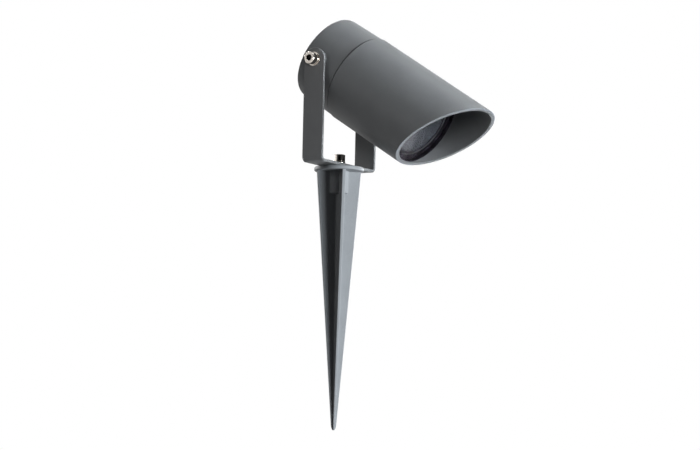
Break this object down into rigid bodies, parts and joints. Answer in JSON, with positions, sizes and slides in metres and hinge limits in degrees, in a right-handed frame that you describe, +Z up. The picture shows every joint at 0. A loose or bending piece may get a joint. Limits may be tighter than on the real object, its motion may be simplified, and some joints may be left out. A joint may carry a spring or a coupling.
{
  "type": "garden spike spotlight",
  "caption": "Outdoor spotlight: a cylindrical lamp head with a slanted hood tilts in a U-bracket that swivels on a cross-shaped ground spike.",
  "frame": {"origin": "centre of the underside of the spike's flange, which rests on the ground", "axes": "+Z up along the spike, +X along the pivot axis, the lamp shines towards -Y and down"},
  "size_m": [0.0882, 0.1494, 0.2946],
  "materials": {
    "head_coat": "satin",
    "bracket_coat": "satin",
    "spike_metal": "satin",
    "stainless_steel": "polished",
    "zinc_steel": "satin",
    "black_rubber": "matte",
    "black_silicone": "matte",
    "black_nylon": "matte",
    "clear_glass": "gloss",
    "lamp_shell": "satin",
    "frosted_lens": "satin",
    "led_board": "satin",
    "lamp_brass": "satin",
    "white_ceramic": "matte",
    "lead_silicone": "satin",
    "terminal_plastic": "satin"
  },
  "bodies": {
    "spike": {"ground_spike": "spike_metal", "bracket_screw": "stainless_steel", "bracket_spring_washer": "stainless_steel", "bracket_washer": "stainless_steel"},
    "bracket": {"u_bracket": "bracket_coat"},
    "head": {"pivot_screws": "stainless_steel", "pivot_spring_washers": "stainless_steel", "pivot_washers": "stainless_steel", "pivot_friction_washers": "black_nylon", "rear_housing": "head_coat", "front_hood": "head_coat", "hood_seal": "black_rubber", "front_glass": "clear_glass", "glass_seal": "black_silicone", "lamp_body": "lamp_shell", "lamp_lens": "frosted_lens", "lamp_led_board": "led_board", "lamp_pins": "lamp_brass", "lampholder": "white_ceramic", "lampholder_contacts": "lamp_brass", "lampholder_bridge": "zinc_steel", "lampholder_screws": "zinc_steel", "bridge_screws": "zinc_steel", "lampholder_leads": "lead_silicone", "terminal_block": "terminal_plastic", "terminal_screws": "lamp_brass", "earth_screw": "zinc_steel", "earth_tag": "lamp_brass", "gland_body": "black_nylon", "gland_gasket": "black_rubber", "gland_locknut": "black_nylon", "gland_seal": "black_rubber", "gland_nut": "black_nylon"}
  },
  "joints": [
    {"name": "bracket_swivel", "type": "hinge", "parent": "spike", "child": "bracket", "pos_m": [0, 0, 0.0039], "axis": [0, 0, 1], "continuous": true},
    {"name": "head_tilt", "type": "hinge", "parent": "bracket", "child": "head", "pos_m": [0, 0, 0.076], "axis": [1, 0, 0], "range_deg": [-260, 15]}
  ]
}
